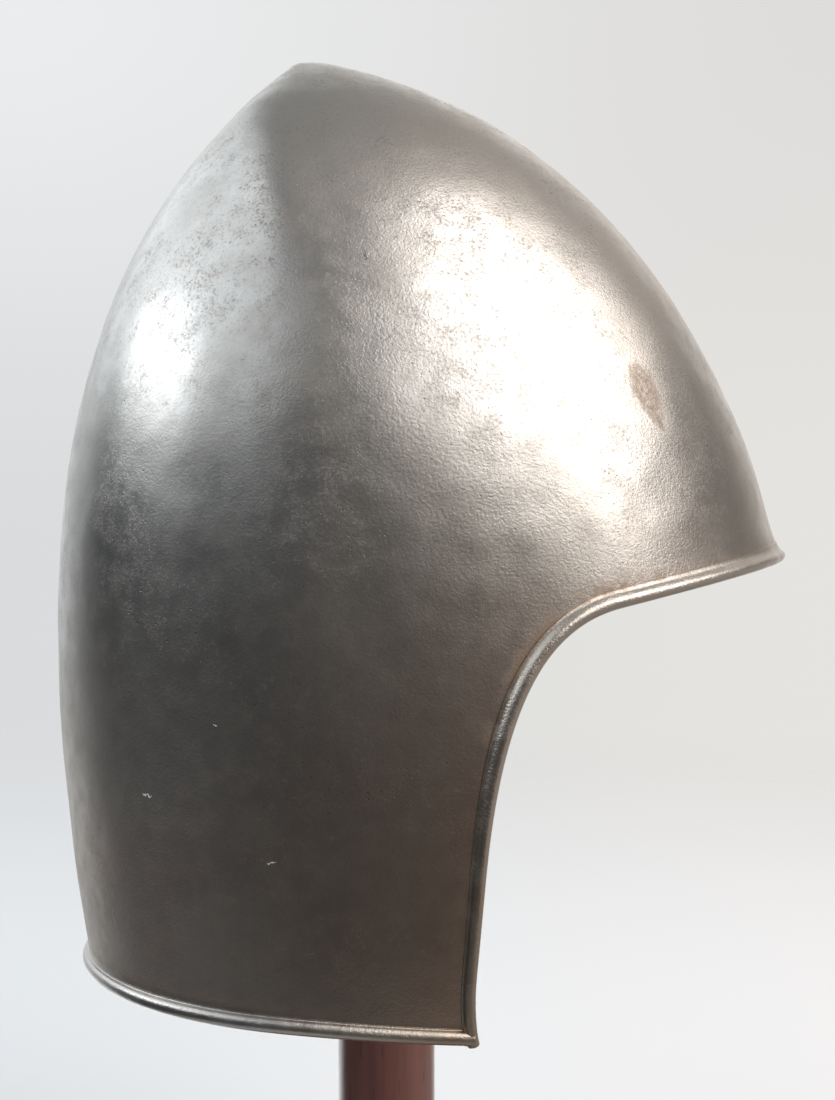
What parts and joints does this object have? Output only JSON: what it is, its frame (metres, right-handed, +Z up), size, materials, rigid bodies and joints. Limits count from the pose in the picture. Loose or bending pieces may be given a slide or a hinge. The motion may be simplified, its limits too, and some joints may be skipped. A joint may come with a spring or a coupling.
{
  "type": "open-faced steel helmet on a wooden stand",
  "caption": "Open-faced steel helmet with a tall skull raised to a blunt point and rolled neck and face edges, standing on a plain turned wooden post and round base.",
  "frame": {"origin": "the middle of the base's underside, on the floor, under the post's axis", "axes": "+Z up along the post, +X the way the face opening looks, +Y towards the wearer's left"},
  "size_m": [0.2288, 0.2014, 0.414],
  "materials": {
    "patinated_steel": "dark brown-grey patina, satin, finely pitted, with bright worn edges",
    "stained_wood": "red-brown stain under a semi-gloss varnish"
  },
  "bodies": {
    "root": {"skull": "patinated_steel", "stand_post": "stained_wood", "stand_head": "stained_wood", "stand_base": "stained_wood"}
  },
  "joints": []
}
